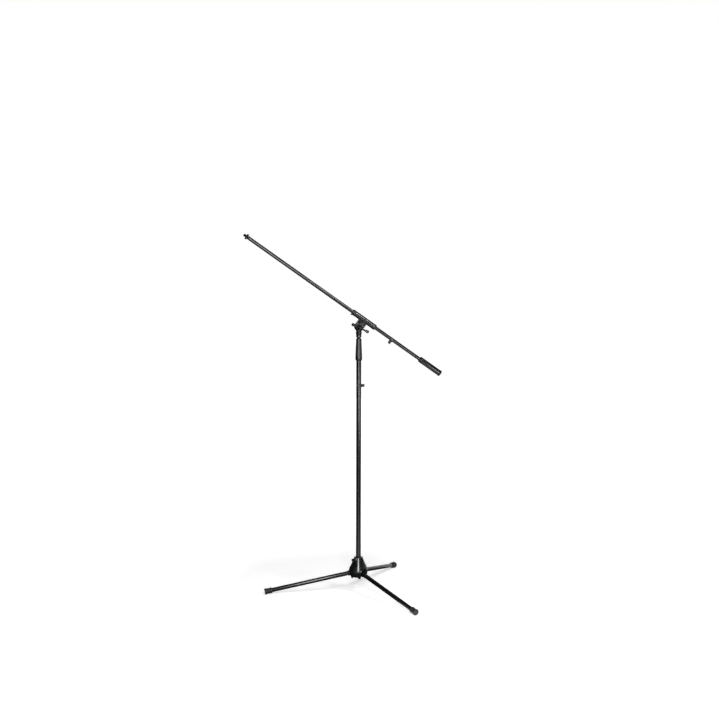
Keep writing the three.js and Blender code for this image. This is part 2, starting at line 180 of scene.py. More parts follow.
@dataclass
class Surface:
    """A material being built: its shader, and the object coordinates that its patterns read."""

    material: bpy.types.Material
    shader: bpy.types.Node
    place: bpy.types.NodeSocket

    def drive(self, name: str, source: bpy.types.NodeSocket) -> None:
        """Let a varying value feed one of the shader's inputs, in place of its constant."""
        self.material.node_tree.links.new(source, self.shader.inputs[name])

    def clouded(
        self,
        size: float,
        base: str,
        other: str,
        share: float,
        gloss: tuple[float, float],
        octaves: float = 4.0,
    ) -> bpy.types.NodeSocket:
        """Vary the colour and the roughness together in soft patches.

        Args:
            size: Width of a patch in millimetres.
            base: Hex colour of the body.
            other: Hex colour that the patches tend to.
            share: Most of the other colour that a patch takes.
            gloss: Lowest and highest roughness.
            octaves: Detail of the patches' outlines.

        Returns:
            The varied colour.
        """
        pattern = {"Scale": per_mm(size), "Detail": octaves}
        noise = add_node(self.material, "TexNoise", pattern, Vector=self.place)
        middle = {"From Min": 0.32, "From Max": 0.68}
        rough = middle | {"To Min": gloss[0], "To Max": gloss[1]}
        sheen = add_node(self.material, "MapRange", rough, Value=noise.outputs["Fac"])
        amount = add_node(self.material, "MapRange", middle | {"To Max": share}, Value=noise.outputs["Fac"])
        pair = {"Color1": colour(base), "Color2": colour(other)}
        body = add_node(self.material, "MixRGB", pair, Fac=amount.outputs["Result"]).outputs["Color"]
        self.drive("Roughness", sheen.outputs["Result"])
        self.drive("Base Color", body)
        return body

    def rubbed(self, body: bpy.types.NodeSocket, worn: str, start: float, share: float) -> None:
        """Show a worn colour along the convex edges.

        Args:
            body: Colour away from the edges.
            worn: Hex colour of the rubbed edges.
            start: Pointiness at which the wear begins, above one half.
            share: Most of the worn colour that shows.
        """
        edges = add_node(self.material, "NewGeometry").outputs["Pointiness"]
        span = {"From Min": start, "From Max": start + 0.08, "To Max": share}
        amount = add_node(self.material, "MapRange", span, Value=edges).outputs["Result"]
        mixed = add_node(self.material, "MixRGB", {"Color2": colour(worn)}, Fac=amount, Color1=body)
        self.drive("Base Color", mixed.outputs["Color"])

    def grained(
        self, size: float, depth: float, octaves: float = 2.0, over: bpy.types.NodeSocket | None = None
    ) -> bpy.types.NodeSocket:
        """Raise a fine relief all over.

        Args:
            size: Width of a grain in millimetres.
            depth: Height of a grain in millimetres.
            octaves: Detail of the grains.
            over: Normal of a coarser relief that this one lies on.

        Returns:
            The normal, for a finer relief.
        """
        pattern = {"Scale": per_mm(size), "Detail": octaves}
        noise = add_node(self.material, "TexNoise", pattern, Vector=self.place)
        links = {"Height": noise.outputs["Fac"]} | ({"Normal": over} if over else {})
        raised = add_node(self.material, "Bump", {"Distance": depth * MM}, **links).outputs["Normal"]
        self.drive("Normal", raised)
        return raised


@dataclass(frozen=True)
class Finish:
    """One surface finish. Subclasses add what their process leaves on the surface."""

    name: str
    slot: Slot
    base: str
    roughness: float
    metallic: float = 0.0

    def material(self) -> bpy.types.Material:
        """Build the material, or return it if an earlier piece built it."""
        found = bpy.data.materials.get(self.name)
        if found:
            return found
        made = bpy.data.materials.new(self.name)
        made.use_nodes = True
        made.diffuse_color = colour(self.base)
        shader = made.node_tree.nodes["Principled BSDF"]
        shader.inputs["Base Color"].default_value = colour(self.base)
        shader.inputs["Roughness"].default_value = self.roughness
        shader.inputs["Metallic"].default_value = self.metallic
        self.detail(Surface(made, shader, add_node(made, "TexCoord").outputs["Object"]))
        return made

    def detail(self, surface: Surface) -> None:
        """Add this finish's own pattern. The plain finish has none."""

    def gloss(self, smoother: float, rougher: float) -> tuple[float, float]:
        """Range of roughness round this finish's own."""
        return self.roughness - smoother, self.roughness + rougher


@dataclass(frozen=True)
class PowderCoat(Finish):
    """Polyester powder coat baked on steel tube: satin black, with orange peel that softens reflections."""

    grain: float = 0.9
    handled: float = 42.0

    def detail(self, surface: Surface) -> None:
        """Orange peel, and patches that handling has polished or dulled."""
        surface.shader.inputs["IOR"].default_value = 1.5
        surface.clouded(self.handled, self.base, "#17181a", 0.6, self.gloss(0.03, 0.06))
        surface.grained(self.grain, 0.008)


@dataclass(frozen=True)
class CastEnamel(Finish):
    """Gloss enamel sprayed on a zinc die casting: deep black, slightly wavy, rubbed thin on its edges."""

    waves: float = 7.0

    def detail(self, surface: Surface) -> None:
        """Waviness of the casting's skin under the paint, and dark grey metal showing at the edges."""
        surface.shader.inputs["IOR"].default_value = 1.52
        surface.shader.inputs["Coat Weight"].default_value = 0.35
        surface.shader.inputs["Coat Roughness"].default_value = 0.12
        body = surface.clouded(18, self.base, "#17181a", 0.5, self.gloss(0.05, 0.1), 3)
        surface.rubbed(body, "#4c4e52", 0.56, 0.5)
        wavy = surface.grained(self.waves, 0.05, 1)
        surface.grained(0.6, 0.006, over=wavy)


@dataclass(frozen=True)
class Moulded(Finish):
    """Injection-moulded nylon or rubber: an eroded mould grain, paler where hands and shoes scuff it."""

    # Real mould grain is finer. This is as coarse as it needs to be to show.
    grain: float = 0.45
    depth: float = 0.03
    scuffed: str = "#232427"
    specular: float = 0.5
    wear: float = 0.35

    def detail(self, surface: Surface) -> None:
        """Mould grain, scuffs on convex edges and a dusty bloom."""
        surface.shader.inputs["IOR"].default_value = 1.53
        surface.shader.inputs["Specular IOR Level"].default_value = self.specular
        body = surface.clouded(11, self.base, self.scuffed, 0.7, self.gloss(0.06, 0.08), 5)
        surface.rubbed(body, "#55565a", 0.57, self.wear)
        surface.grained(self.grain, self.depth, 3)


@dataclass(frozen=True)
class TurnedSteel(Finish):
    """Turned steel, zinc plated or blackened: tool marks blur the reflection and the plating mottles."""

    mottled: str = "#8d9096"
    # Real tool marks are finer. These are as coarse as they need to be to show.
    marks: float = 0.25

    def detail(self, surface: Surface) -> None:
        """Fine tool marks and cloudy plating."""
        surface.shader.inputs["Anisotropic"].default_value = 0.4
        surface.clouded(6, self.base, self.mottled, 1.0, self.gloss(0.06, 0.12))
        surface.grained(self.marks, 0.008)


@dataclass(frozen=True)
class Acetal(Finish):
    """Natural acetal: a waxy off-white with a soft sheen, since some light scatters below its surface."""

    def detail(self, surface: Surface) -> None:
        """Scattering below the surface, and machining haze."""
        surface.shader.inputs["Subsurface Weight"].default_value = 0.15
        surface.shader.inputs["Subsurface Scale"].default_value = 1.5 * MM
        surface.clouded(4, self.base, "#cfccc2", 0.5, self.gloss(0.05, 0.1), 3)
        surface.grained(0.5, 0.01)


@dataclass(frozen=True)
class StudioPaper(Finish):
    """Matt white background paper with a painted glow that only the camera sees. The glow is weaker near the
    stand and burns the paper out to white away from it. Every other ray sees painted shade.
    """

    # Painted glow: emission seen only by the camera. It has the lower strength near the stand and rises to
    # one over this span of distance.
    fade: tuple[float, float] = (0.42, 1.0)
    painted_glow_near_stand: float = 0.54
    painted_shade_off_camera: str = "#282828"

    def detail(self, surface: Surface) -> None:
        """Painted glow that only the camera meets, weaker near the stand, and a painted dark grey copy of the
        paper for every other ray, so that the stand's reflections stay dark.
        """
        paper = surface.material
        reach = add_node(paper, "VectorMath", {"operation": "LENGTH"}, Vector=surface.place).outputs["Value"]
        span = {"From Min": self.fade[0], "From Max": self.fade[1], "To Min": self.painted_glow_near_stand}
        strength = add_node(paper, "MapRange", span, Value=reach).outputs["Result"]
        seen = add_node(paper, "LightPath").outputs["Is Camera Ray"]
        pair = {"Color1": colour("#000000"), "Color2": colour("#ffffff")}
        glow = add_node(paper, "MixRGB", pair, Fac=seen).outputs["Color"]
        # Painted shade: the paper is dark grey to every ray but the camera's, and white to the camera.
        white_or_painted_shade = {"Color1": colour(self.painted_shade_off_camera), "Color2": colour(self.base)}
        surface.drive("Emission Color", glow)
        surface.drive("Emission Strength", strength)
        surface.drive("Base Color", add_node(paper, "MixRGB", white_or_painted_shade, Fac=seen).outputs["Color"])


TUBE_COAT = PowderCoat("powder_coated_tube", Slot.POWDER_COAT, "#0e0f11", 0.2)
WEIGHT_COAT = PowderCoat("powder_coated_weight", Slot.POWDER_COAT, "#0c0d0e", 0.2, grain=1.3)
CASTING = CastEnamel("enamelled_zinc_casting", Slot.CAST_PAINT, "#0c0d0e", 0.22)
CLAMP_SHELL = CastEnamel("enamelled_clamp_shell", Slot.CAST_PAINT, "#0f1011", 0.2, waves=11.0)
NYLON = Moulded("moulded_black_nylon", Slot.NYLON, "#121315", 0.38)
KNOB_NYLON = Moulded("moulded_knob_nylon", Slot.NYLON, "#0d0e0f", 0.3, scuffed="#151617", wear=0.1)
CLIP_NYLON = Moulded("moulded_clip_nylon", Slot.NYLON, "#28292b", 0.4, scuffed="#323336")
RUBBER = Moulded(
    "moulded_black_rubber", Slot.RUBBER, "#121212", 0.5, depth=0.04, scuffed="#1f1f1f", specular=0.45
)
BLACK_STEEL = TurnedSteel("blackened_steel", Slot.BLACK_STEEL, "#2a2b2e", 0.32, 0.85, mottled="#1a1b1d")
ZINC_PLATE = TurnedSteel("zinc_plated_steel", Slot.BRIGHT_STEEL, "#b4b7bc", 0.26, 1.0)
NATURAL_ACETAL = Acetal("natural_acetal", Slot.ACETAL, "#dcd9d0", 0.38)
PAPER = StudioPaper("white_studio_paper", Slot.ACETAL, "#f4f4f4", 0.85)


# ------------------------------------------------------------------ local frames


@dataclass(frozen=True)
class Frame:
    """A local frame in millimetres: its origin in the row frame, in metres, and its X and Y directions."""

    origin: Vector
    x: Vector
    y: Vector

    def matrix(self) -> Matrix:
        """Matrix from local millimetres to metres in the row frame."""
        turn = Matrix((self.x, self.y, self.x.cross(self.y))).transposed().to_4x4()
        return Matrix.Translation(self.origin) @ turn @ Matrix.Scale(MM, 4)


def rotation(degrees: float, axis: str = "Z") -> Matrix:
    """Turn about one of the axes."""
    return Matrix.Rotation(math.radians(degrees), 4, axis)


def lifted(height: float) -> Matrix:
    """Move along Z."""
    return Matrix.Translation((0, 0, height))


ALONG_X = rotation(90, "Y")
ALONG_MINUS_Y = rotation(90, "X")
JOINTS = {joint["name"]: joint for joint in frame["joints"]}
UP = Vector((0, 0, 1))
RIGHT = Vector((1, 0, 0))


def joint_place(name: str) -> Vector:
    """A hinge's point in the row frame, in metres."""
    return Vector(JOINTS[name]["pos_m"])


def joint_axis(name: str) -> Vector:
    """A joint's direction in the row frame."""
    return Vector(JOINTS[name]["axis"]).normalized()


def mast_frame() -> Frame:
    """Frame on the floor under the mast, with X and Y along the row frame's."""
    place = joint_place("swivel_turn")
    return Frame(Vector((place.x, place.y, 0)), RIGHT, UP.cross(RIGHT))


def leg_frame(side: Side, slope: float) -> Frame:
    """Frame on a leg's hinge pin, with X down the leg and Y along the pin."""
    pin = -joint_axis(f"leg_{side.value}_fold")
    outward = pin.cross(UP)
    return Frame(joint_place(f"leg_{side.value}_fold"), outward * math.cos(slope) - UP * math.sin(slope), pin)


def head_frame() -> Frame:
    """Upright frame on the tilt pivot, with Y along the pivot, away from the T-bar."""
    pivot = joint_axis("boom_tilt")
    return Frame(joint_place("boom_tilt"), pivot.cross(UP), pivot)


def boom_frame() -> Frame:
    """Frame on the tilt pivot, with X along the boom to the counterweight."""
    return Frame(joint_place("boom_tilt"), joint_axis("boom_slide"), joint_axis("boom_tilt"))


# ------------------------------------------------------------------ outline helpers


def arc(centre: tuple[float, float], radius: float, start: float, end: float, steps: int = 12) -> Profile:
    """Points on an arc.

    Args:
        centre: The arc's centre.
        radius: Its radius.
        start: First angle in degrees.
        end: Last angle in degrees.
        steps: Number of chords.

    Returns:
        The points from start to end.
    """
    angles = [math.radians(start + (end - start) * step / steps) for step in range(steps + 1)]
    return [(centre[0] + radius * math.cos(a), centre[1] + radius * math.sin(a)) for a in angles]


def rounded(profile: Profile, radius: float = 0.4, steps: int = 3) -> Profile:
    """Round the corners of a profile. Ends that lie on the axis stay as they are.

    Args:
        profile: Corner points.
        radius: How far along each side the rounding reaches.
        steps: Chords in each rounding.

    Returns:
        The rounded profile.
    """
    corners = [Vector(point) for point in profile]
    is_ring = corners[0].x > WELD
    last = len(corners) - 1
    result: list[Vector] = []
    for index, corner in enumerate(corners):
        back = corners[index - 1] - corner
        ahead = corners[(index + 1) % len(corners)] - corner
        at_open_end = not is_ring and index in (0, last)
        if at_open_end or math.pi - back.angle(ahead) < math.radians(20):
            result.append(corner)
            continue
        start = corner + back.normalized() * min(radius, back.length * 0.45)
        end = corner + ahead.normalized() * min(radius, ahead.length * 0.45)
        for step in range(steps + 1):
            t = step / steps
            result.append(start * (1 - t) ** 2 + corner * 2 * t * (1 - t) + end * t**2)
    return [(point.x, point.y) for point in result]


def smooth_curve(points: Profile, steps: int = 6) -> Profile:
    """Curve through some points.

    Args:
        points: The points that the curve passes.
        steps: Chords between two of them.

    Returns:
        Points along the curve.
    """
    path = [Vector(point) for point in points]
    path = [2 * path[0] - path[1], *path, 2 * path[-1] - path[-2]]
    result: Profile = []
    for a, b, c, d in zip(path, path[1:], path[2:], path[3:]):
        for step in range(steps):
            t = step / steps
            point = 0.5 * (
                2 * b + (c - a) * t + (2 * a - 5 * b + 4 * c - d) * t**2 + (3 * b - a - 3 * c + d) * t**3
            )
            result.append((point.x, point.y))
    return [*result, points[-1]]


# ------------------------------------------------------------------ mesh helpers


def turned(profile: Profile, steps: int = 64) -> Solid:
    """Spin a profile of (radius, height) points about Z.

    Args:
        profile: Points that start and end on the axis, or the corners of a ring's section.
        steps: Facets round the axis.

    Returns:
        The closed solid.
    """
    bm = bmesh.new()
    verts = [bm.verts.new((radius, 0, height)) for radius, height in profile]
    ends = [(verts[-1], verts[0])] if profile[0][0] > WELD else []
    edges = [bm.edges.new(pair) for pair in [*zip(verts, verts[1:]), *ends]]
    bmesh.ops.spin(
        bm, geom=verts + edges, axis=(0, 0, 1), cent=(0, 0, 0), angle=TURN, steps=steps, use_merge=True
    )
    return closed(bm)


def closed(bm: Solid) -> Solid:
    """Merge a mesh's doubles, drop what that flattened and turn its faces outwards."""
    bmesh.ops.remove_doubles(bm, verts=bm.verts, dist=WELD)
    bmesh.ops.dissolve_degenerate(bm, edges=bm.edges, dist=WELD / 10)
    bmesh.ops.recalc_face_normals(bm, faces=bm.faces)
    return bm


def ring(outer: float, inner: float, low: float, high: float, edge: float = 0.35, steps: int = 64) -> Solid:
    """Tube about Z with eased edges.

    Args:
        outer: Outer radius.
        inner: Bore radius.
        low: Lower end.
        high: Upper end.
        edge: Rounding of the edges.
        steps: Facets round the axis.

    Returns:
        The tube.
    """
    return turned(rounded([(inner, low), (outer, low), (outer, high), (inner, high)], edge), steps)


def rod(radius: float, low: float, high: float, edge: float = 0.3, steps: int = 40) -> Solid:
    """Round bar about Z with eased ends.

    Args:
        radius: The bar's radius.
        low: Lower end.
        high: Upper end.
        edge: Rounding of the ends.
        steps: Facets round the axis.

    Returns:
        The bar.
    """
    return turned(rounded([(0, low), (radius, low), (radius, high), (0, high)], edge), steps)


def block(low: Sequence[float], high: Sequence[float]) -> Solid:
    """Box between two corners."""
    bm = bmesh.new()
    bmesh.ops.create_cube(bm, size=1)
    bmesh.ops.scale(bm, vec=[b - a for a, b in zip(low, high)], verts=bm.verts)
    bmesh.ops.translate(bm, vec=[(a + b) / 2 for a, b in zip(low, high)], verts=bm.verts)
    return bm


def plate(outline: Profile, thickness: float) -> Solid:
    """Plate drawn in the XZ plane, with its thickness centred on Y.

    Args:
        outline: Corner points as (x, z).
        thickness: Size along Y.

    Returns:
        The plate.
    """
    bm = bmesh.new()
    face = bm.faces.new([bm.verts.new((x, -thickness / 2, z)) for x, z in outline])
    grown = bmesh.ops.extrude_face_region(bm, geom=[face])["geom"]
    moved = [item for item in grown if isinstance(item, bmesh.types.BMVert)]
    bmesh.ops.translate(bm, vec=(0, thickness, 0), verts=moved)
    bmesh.ops.recalc_face_normals(bm, faces=bm.faces)
    return bm


def arc_band(inner: float, outer: float, half: float, start: float, end: float, steps: int = 40) -> Solid:
    """Part of a ring about Z, as long as an arc.

    Args:
        inner: Inner radius.
        outer: Outer radius.
        half: Half its height.
        start: First angle in degrees.
        end: Last angle in degrees.
        steps: Facets along the arc.

    Returns:
        The open ring, closed at its ends.
    """
    bm = bmesh.new()
    corners = [(inner, -half), (outer, -half), (outer, half), (inner, half)]
    face = bm.faces.new([bm.verts.new((radius, 0, height)) for radius, height in corners])
    turn = Matrix.Rotation(math.radians(start), 3, "Z")
    bmesh.ops.rotate(bm, verts=bm.verts, cent=(0, 0, 0), matrix=turn)
    sweep = math.radians(end - start)
    geometry = [*bm.verts, *bm.edges, face]
    bmesh.ops.spin(bm, geom=geometry, axis=(0, 0, 1), cent=(0, 0, 0), angle=sweep, steps=steps)
    return closed(bm)


def softened(bm: Solid, width: float, segments: int = 3) -> Solid:
    """Bevel the sharp edges of a mesh.

    Args:
        bm: The mesh.
        width: Width of the bevel.
        segments: Facets across it.

    Returns:
        The same mesh.
    """
    sharp = [edge for edge in bm.edges if edge.is_manifold and edge.calc_face_angle(0) > SHARP_ANGLE]
    bmesh.ops.bevel(
        bm, geom=sharp, offset=width, affect="EDGES", segments=segments, profile=0.5, material=-1,
        clamp_overlap=True
    )
    return closed(bm)


def placed(bm: Solid, *matrices: Matrix) -> Solid:
    """Move a mesh by some matrices, the last one first."""
    for matrix in reversed(matrices):
        bmesh.ops.transform(bm, matrix=matrix, verts=bm.verts)
    return bm


def shifted(bm: Solid, x: float = 0, y: float = 0, z: float = 0) -> Solid:
    """Move a mesh and return it."""
    return placed(bm, Matrix.Translation((x, y, z)))


def joined(*parts: Solid) -> Solid:
    """Put the faces of some meshes in one. They may cross each other."""
    whole = bmesh.new()
    for bm in parts:
        carrier = bpy.data.meshes.new("carrier")
        bm.to_mesh(carrier)
        bm.free()
        whole.from_mesh(carrier)
        bpy.data.meshes.remove(carrier)
    return whole


def temporary(bm: Solid) -> bpy.types.Object:
    """Put a mesh in an object for a modifier to work on."""
    mesh = bpy.data.meshes.new("temporary")
    bm.to_mesh(mesh)
    bm.free()
    made = bpy.data.objects.new("temporary", mesh)
    bpy.context.scene.collection.objects.link(made)
    return made


def evaluated(source: bpy.types.Object) -> Solid:
    """Mesh of an object with its modifiers applied. The object is removed."""
    bm = bmesh.new()
    bm.from_object(source, bpy.context.evaluated_depsgraph_get())
    mesh = source.data
    bpy.data.objects.remove(source)
    bpy.data.meshes.remove(mesh)
    return bm


def cut(bm: Solid, how: Cut, *tools: Solid) -> Solid:
    """Cut a solid with some others, or join them, one after another.

    Args:
        bm: The solid that changes.
        how: Whether the tools are cut away, kept in common or joined.
        tools: The other solids.

    Returns:
        The changed solid.
    """
    for tool in tools:
        target, other = temporary(bm), temporary(tool)
        modifier = target.modifiers.new("cut", "BOOLEAN")
        modifier.operation, modifier.object, modifier.solver = how.value, other, "EXACT"
        bm = evaluated(target)
        evaluated(other).free()
    return bm


def cast(bm: Solid, voxel: float, passes: int) -> Solid:
    """Ease every edge of a solid as a die casting's are.

    Args:
        bm: The solid.
        voxel: Size of the new mesh's faces.
        passes: Rounds of smoothing, which set the edge radius.

    Returns:
        The eased solid.
    """
    source = temporary(bm)
    modifier = source.modifiers.new("cast", "REMESH")
    modifier.mode, modifier.voxel_size = "VOXEL", voxel
    eased = evaluated(source)
    for _ in range(passes):
        bmesh.ops.smooth_vert(
            eased, verts=eased.verts, factor=0.5, use_axis_x=True, use_axis_y=True, use_axis_z=True
        )
    return eased


def fluted(bm: Solid, count: int, depth: float, low: float, high: float, fade: float) -> Solid:
    """Press lengthwise flutes into the outside of a solid turned about Z.

    Args:
        bm: The turned solid.
        count: Number of flutes.
        depth: Their depth.
        low: Lower end of the flutes.
        high: Upper end.
        fade: Length over which they run out.

    Returns:
        The same mesh.
    """
    bm.normal_update()
    for vert in bm.verts:
        radius = math.hypot(vert.co.x, vert.co.y)
        if radius < WELD or vert.normal.dot(Vector((vert.co.x, vert.co.y, 0))) < 0.3 * radius:
            continue
        run = min((vert.co.z - low) / fade, (high - vert.co.z) / fade, 1)
        wave = 0.5 + 0.5 * math.cos(count * math.atan2(vert.co.y, vert.co.x))
        shrink = 1 - depth * max(run, 0) * wave / radius
        vert.co.x *= shrink
        vert.co.y *= shrink
    bm.normal_update()
    return bm


def thread(radius: float, depth: float, low: float, high: float, pitch: float) -> Solid:
    """Ridge of a screw thread about Z.

    Args:
        radius: Radius of its crest.
        depth: Height of the ridge.
        low: Where it starts.
        high: Where it ends.
        pitch: Rise in one turn.

    Returns:
        The ridge, to be joined to a core rod.
    """
    per_turn = 32
    turns = (high - low) / pitch - 1
    root = radius - depth
    bm = bmesh.new()
    section = [(root, 0), (radius, pitch * 0.42), (radius, pitch * 0.58), (root, pitch)]
    face = bm.faces.new([bm.verts.new((x, 0, low + z)) for x, z in section])
    steps = round(turns * per_turn)
    bmesh.ops.spin(
        bm, geom=[*bm.verts, *bm.edges, face], axis=(0, 0, 1), cent=(0, 0, 0), dvec=(0, 0, pitch / per_turn),
        angle=TURN * steps / per_turn, steps=steps
    )
    bmesh.ops.recalc_face_normals(bm, faces=bm.faces)
    return bm


# ------------------------------------------------------------------ pieces


def finished(node: str, bm: Solid, frame_of: Frame, finish: Finish) -> bpy.types.Object:
    """Make the piece that stands for a CAD node, on the node's own body.

    Args:
        node: Name of the CAD node.
        bm: The piece in the local frame, in millimetres.
        frame_of: That local frame.
        finish: The piece's finish.

    Returns:
        The new object, at the origin, with its place in its mesh.
    """
    placed(bm, frame_of.matrix())
    for face in bm.faces:
        face.smooth = True
    for edge in bm.edges:
        edge.smooth = not edge.is_manifold or edge.calc_face_angle(0) < SHARP_ANGLE
    mesh = bpy.data.meshes.new(f"{node}_finished")
    bm.to_mesh(mesh)
    bm.free()
    mesh.materials.append(finish.material())
    made = bpy.data.objects.new(f"{node}_finished", mesh)
    bpy.context.scene.collection.objects.link(made)
    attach(made, body_of(frame["nodes"][node])[0])
    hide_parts(node)
    return made


def dressed(node: str, finish: Finish) -> bpy.types.Object:
    """Give a CAD node, whose own shape stays, its finish."""
    kept = frame["nodes"][node]
    kept.data.materials.clear()
    kept.data.materials.append(finish.material())
    return kept


# ------------------------------------------------------------------ base


@dataclass
class BaseCasting:
    """The bell-shaped casting that carries the legs, with its clamp screw. Heights are above the floor."""

    frame: Frame
    leg_azimuths: Sequence[float] = (186, 306, 66)
    skin: Profile = field(
        default_factory=lambda: [
            (27.4, 53), (30.4, 64), (33.0, 74), (33.9, 80.5), (32.4, 86), (28.2, 95), (20.2, 113),
            (14.6, 127.5)
        ]
    )
    wall: float = 3.2
    hollow_ends: tuple[float, float] = (50.0, 106.0)
    cutter_ends: tuple[float, float] = (40.0, 140.0)
    cutter_reach: float = 60.0
    core: float = 12.5
    bore: float = 8.9
    slot_half: float = 8.1
    slot_inner: float = 18.3
    cheek: float = 4.0
    recess: tuple[float, float] = (24.0, 63.6)
    panel: tuple[float, float, float] = (58.5, 9.5, 13.0)
    boss: tuple[float, float] = (5.5, 21.5)
    clamp_azimuth: float = 226.0
    clamp_height: float = 120.5

    def build(self) -> Iterable[bpy.types.Object]:
        """Build the casting, its hinge pins and its clamp screw."""
        yield finished("base_casting", self.casting(), self.frame, CASTING)
        for side in Side:
            yield self.hinge_pin(side)
        yield from self.clamp()

    def to_clamp(self) -> tuple[Matrix, ...]:
        """Place a piece drawn along Z on the clamp screw's axis."""
        return lifted(self.clamp_height), rotation(self.clamp_azimuth), ALONG_X

    def radial(self, inner: float, half: float) -> Solid:
        """Block that cuts outwards from the mast, through the casting's whole height."""
        low, high = self.cutter_ends
        return block((inner, -half, low), (self.cutter_reach, half, high))

    def casting(self) -> Solid:
        """The bell, hollowed between its cheeks, slotted for the legs, with lugs beside the slots.

        Returns:
            The casting in the mast frame.
        """
        outline = smooth_curve(self.skin)
        bell = turned([(0, outline[0][1]), *outline, (0, outline[-1][1])], 96)
        radius, reach = self.boss
        boss = turned([(0, 10), (radius + 1.2, 10), (radius, reach), (0, reach)])
        bell = cut(bell, Cut.JOIN, placed(boss, *self.to_clamp()))

        low, high = self.cutter_ends
        foot, hollow_top = self.hollow_ends
        inside = [(r - self.wall, z) for r, z in outline if z < hollow_top]
        pockets = turned([(0, foot), (inside[0][0], foot), *inside, (0, inside[-1][1])], 64)
        cheek_half = self.slot_half + self.cheek
        slabs = [placed(self.radial(0, cheek_half), rotation(a)) for a in self.leg_azimuths]
        pockets = cut(pockets, Cut.AWAY, rod(self.core, low, high), *slabs)

        slots = [placed(self.radial(self.slot_inner, self.slot_half), rotation(a)) for a in self.leg_azimuths]
        gaps = [placed(self.lug_gap(), rotation(a + 60)) for a in self.leg_azimuths]
        bores = [rod(self.bore, low, high, 0.1), rod(self.recess[0], low, self.recess[1], 0.1)]
        return cast(cut(bell, Cut.AWAY, pockets, *bores, *slots, *gaps), 0.75, 5)

    def lug_gap(self) -> Solid:
        """The piece cut from a panel's lower edge, which leaves a lug at each side of it."""
        bottom, high, low = self.panel
        foot = self.hollow_ends[0]
        outline = [(-low, foot), (-high, bottom), (high, bottom), (low, foot)]
        return placed(plate(outline, 40), Matrix.Translation((30, 0, 0)), rotation(90))

    def hinge_pin(self, side: Side) -> bpy.types.Object:
        """A leg's hinge pin, with domed ends."""
        pin = turned([(0, -12.5), (1.6, -12.4), (2.3, -11.9), (2.5, -11.2), (2.5, 11.2), (2.3, 11.9),
                      (1.6, 12.4), (0, 12.5)], 32)
        return finished(f"leg_pin_{side.value}", placed(pin, ALONG_MINUS_Y), leg_frame(side, 0), ZINC_PLATE)

    def clamp(self) -> Iterable[bpy.types.Object]:
        """The screw that clamps the mast in the base, and its ribbed knob."""
        start = self.boss[1] + 0.3
        stud = joined(rod(2.2, 9.2, start + 7), thread(2.5, 0.35, 9.6, start + 1, 0.8))
        yield finished("base_clamp_stud", placed(stud, *self.to_clamp()), self.frame, ZINC_PLATE)
        profile = rounded([(2.8, start), (4.0, start), (4.6, start + 1), (5.2, start + 2.2),
                           (5.2, start + 7.6),
                           (4.7, start + 8.8), (0, start + 9.1), (0, start + 7.3), (2.8, start + 7.3)], 0.5)
        crown = turned(self.with_axis_ends(profile), 72)
        knob = fluted(crown, 12, 0.55, start + 1.4, start + 8.9, 0.9)
        yield finished("base_clamp_knob", placed(knob, *self.to_clamp()), self.frame, KNOB_NYLON)

    def with_axis_ends(self, profile: Profile) -> Profile:
        """Start a profile at its last point on the axis, so that it ends at its first."""
        on_axis = [index for index, (radius, _) in enumerate(profile) if radius < WELD]
        start = on_axis[-1]
        return profile[start:] + profile[: on_axis[0] + 1]


# ------------------------------------------------------------------ legs


@dataclass
class Leg:
    """One folding leg, along X from its hinge pin."""

    side: Side
    reach: float = 304.5
    end_height: float = 10.2
    tube_radius: float = 7.5
    wall: float = 1.2
    knuckle_radius: float = 7.4
    knuckle_thickness: float = 15.4
    shoulder: float = 11.0
    rim: float = 11.4

    def build(self) -> Iterable[bpy.types.Object]:
        """Build the knuckle, the tube and the foot cap."""
        drop = joint_place(f"leg_{self.side.value}_fold").z / MM - self.end_height
        here = leg_frame(self.side, math.atan2(drop, self.reach))
        length = math.hypot(drop, self.reach)
        bore = self.tube_radius - self.wall
        pipe = ring(self.tube_radius, bore, self.shoulder + 0.3, length - 4.3, 0.3)
        yield finished(f"leg_knuckle_{self.side.value}", self.knuckle(bore), here, BLACK_STEEL)
        yield finished(f"leg_tube_{self.side.value}", placed(pipe, ALONG_X), here, TUBE_COAT)
        yield self.foot_cap(here, length)

    def knuckle(self, bore: float) -> Solid:
        """The hinged block and the spigot that plugs the tube."""
        outline = [(self.shoulder, -self.knuckle_radius), (self.shoulder, self.knuckle_radius),
                   *arc((0, 0), self.knuckle_radius, 90, 270, 20)]
        hinge = softened(plate(outline, self.knuckle_thickness), 0.9)
        spigot = placed(rod(bore - 0.3, self.shoulder - 1, self.shoulder + 24, 0.6), ALONG_X)
        return joined(hinge, spigot)

    def foot_cap(self, here: Frame, end: float) -> bpy.types.Object:
        """The rubber cap: a ribbed sleeve with a collar and a thick rim, worn flat where it stands."""
        ribs = [point for start in (8.5, 11.5, 14.5, 17.5) for point in
                ((10.0, end - start), (9.55, end - start - 0.5), (9.55, end - start - 1.3),
                (9.9, end - start - 1.8))]
        profile = [(0, end), (8.4, end - 0.1), (10.2, end - 0.5), (self.rim - 0.3, end - 1.5),
                   (self.rim, end - 3.1),
                   (self.rim - 0.4, end - 5.2), (10.2, end - 6.4), *ribs, (9.7, end - 21), (10.35, end - 22),
                   (10.35, end - 25), (9.7, end - 26), (self.tube_radius + 0.05, end - 26),
                   (self.tube_radius + 0.05, end - 4), (0, end - 4)]
        bm = placed(turned(rounded(profile, 0.35), 72), here.matrix(), ALONG_X)
        everything = [*bm.verts, *bm.edges, *bm.faces]
        bmesh.ops.bisect_plane(bm, geom=everything, plane_co=(0, 0, 0), plane_no=(0, 0, -1), clear_outer=True)
        bmesh.ops.holes_fill(bm, edges=[edge for edge in bm.edges if edge.is_boundary])
        return finished(f"foot_cap_{self.side.value}", placed(bm, here.matrix().inverted()), here, RUBBER)


# ------------------------------------------------------------------ mast


